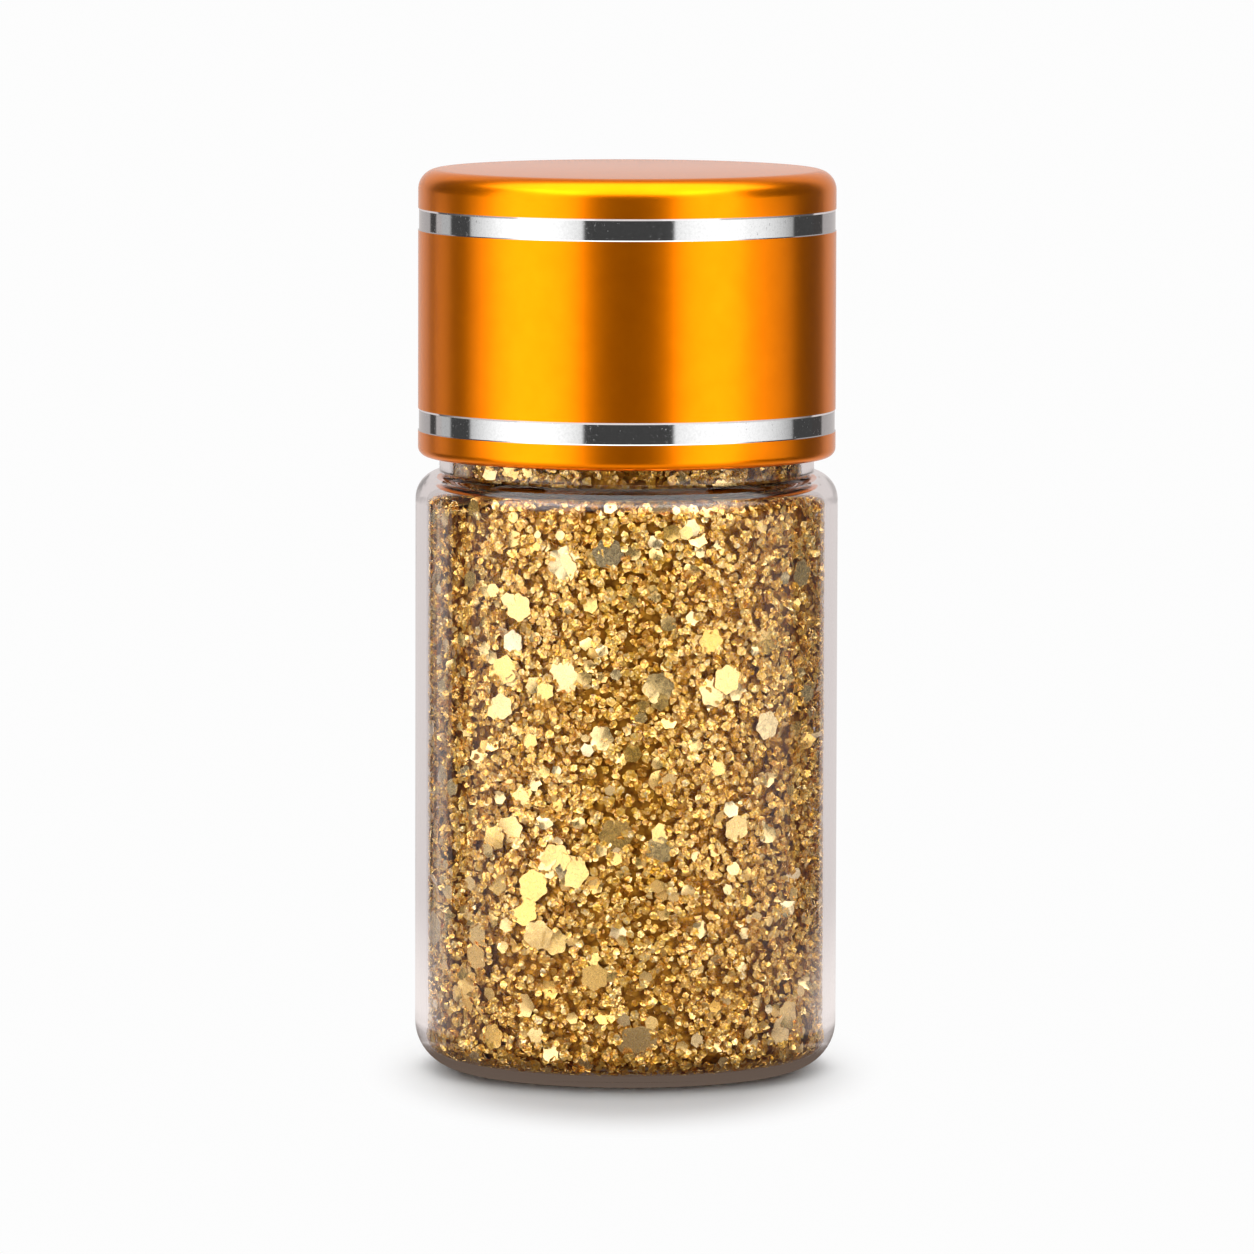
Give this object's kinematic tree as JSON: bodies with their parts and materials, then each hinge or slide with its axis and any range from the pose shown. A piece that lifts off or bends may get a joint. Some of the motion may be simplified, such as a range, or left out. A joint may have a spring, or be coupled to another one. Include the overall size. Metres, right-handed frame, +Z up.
{
  "type": "nail glitter bottle",
  "caption": "Round clear glass bottle of loose gold glitter, with a threaded neck, a seal liner and an amber aluminium screw cap that turns and lifts off.",
  "frame": {"origin": "centre of the base, on the surface that the bottle stands on", "axes": "+Z up along the bottle's axis, which is also the screw axis of the cap; X and Y are equal"},
  "size_m": [0.023, 0.023, 0.0491],
  "materials": {
    "clear_glass": "polished",
    "gold_glitter": "gloss",
    "amber_anodised_aluminium": "satin",
    "white_polypropylene": "satin",
    "white_foam": "matte"
  },
  "bodies": {
    "bottle": {"glass_bottle": "clear_glass", "glitter_fill": "gold_glitter"},
    "liner": {"seal_liner": "white_foam"},
    "cap": {"cap_shell": "amber_anodised_aluminium", "inner_cap": "white_polypropylene"}
  },
  "joints": [
    {"name": "cap_lift", "type": "slide", "parent": "bottle", "child": "liner", "axis": [0, 0, 1], "range_m": [0, 0.0128]},
    {"name": "cap_turn", "type": "hinge", "parent": "liner", "child": "cap", "pos_m": [0, 0, 0.0413], "axis": [0, 0, 1], "range_deg": [0, 1440]}
  ],
  "couplings": [
    {"joint": "cap_lift", "follows": "cap_turn", "m_per_rad": 0.00050532}
  ]
}
